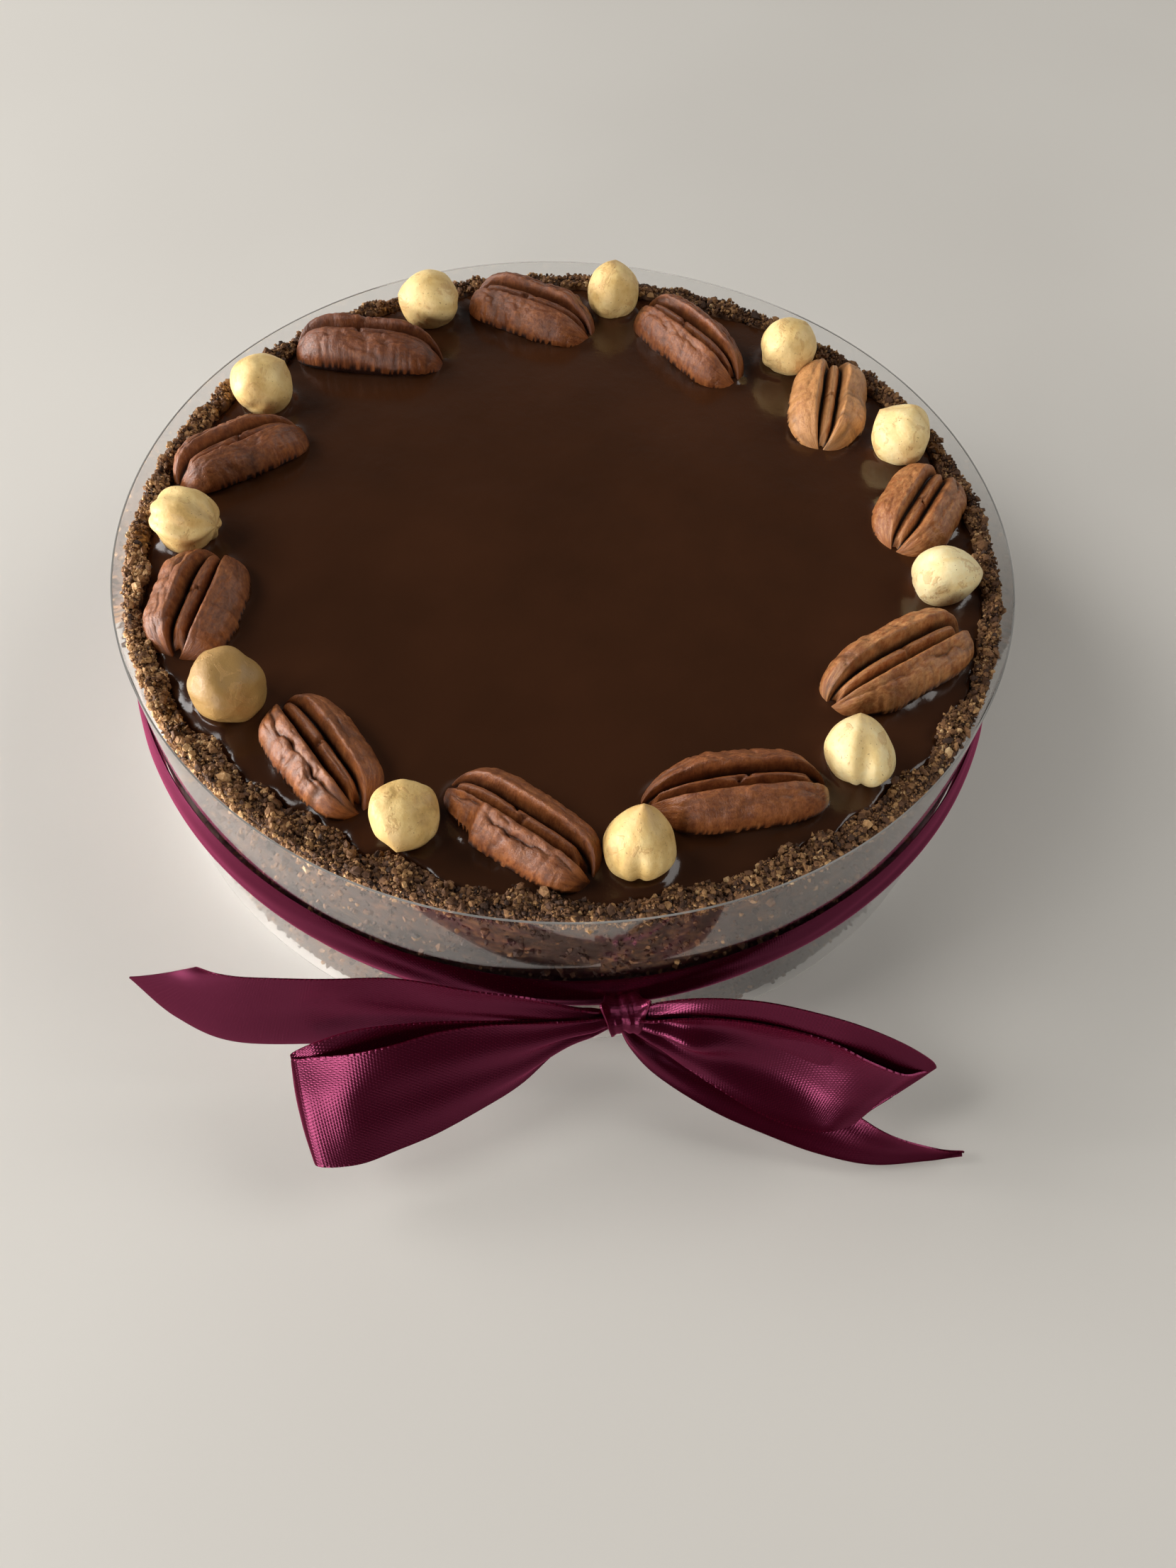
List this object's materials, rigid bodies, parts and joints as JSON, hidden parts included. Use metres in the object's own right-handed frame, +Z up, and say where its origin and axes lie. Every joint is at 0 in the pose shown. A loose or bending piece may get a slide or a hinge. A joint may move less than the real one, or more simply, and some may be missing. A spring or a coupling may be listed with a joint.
{
  "type": "praline cheesecake",
  "caption": "Round cheesecake in a crumb crust, topped with dark ganache and a ring of pecans and hazelnuts, in a clear collar tied with a satin ribbon bow.",
  "frame": {"origin": "centre of the collar on the plane that the cake stands on", "axes": "+Z up; the bow faces -Y; +X to the right of someone facing the bow"},
  "size_m": [0.1696, 0.1964, 0.055],
  "materials": {
    "crumb": "rough baked biscuit crumb",
    "ganache": "satin chocolate",
    "pecan": "wrinkled nut skin",
    "hazelnut": "smooth blanched nut",
    "film": "clear film",
    "satin": "burgundy satin"
  },
  "bodies": {
    "root": {"crust_body": "crumb", "ganache": "ganache", "pecan_01": "pecan", "pecan_02": "pecan", "pecan_03": "pecan", "pecan_04": "pecan", "pecan_05": "pecan", "pecan_06": "pecan", "pecan_07": "pecan", "pecan_08": "pecan", "pecan_09": "pecan", "pecan_10": "pecan", "pecan_11": "pecan", "hazelnut_01": "hazelnut", "hazelnut_02": "hazelnut", "hazelnut_03": "hazelnut", "hazelnut_04": "hazelnut", "hazelnut_05": "hazelnut", "hazelnut_06": "hazelnut", "hazelnut_07": "hazelnut", "hazelnut_08": "hazelnut", "hazelnut_09": "hazelnut", "hazelnut_10": "hazelnut", "hazelnut_11": "hazelnut", "collar": "film", "ribbon": "satin"}
  },
  "joints": []
}
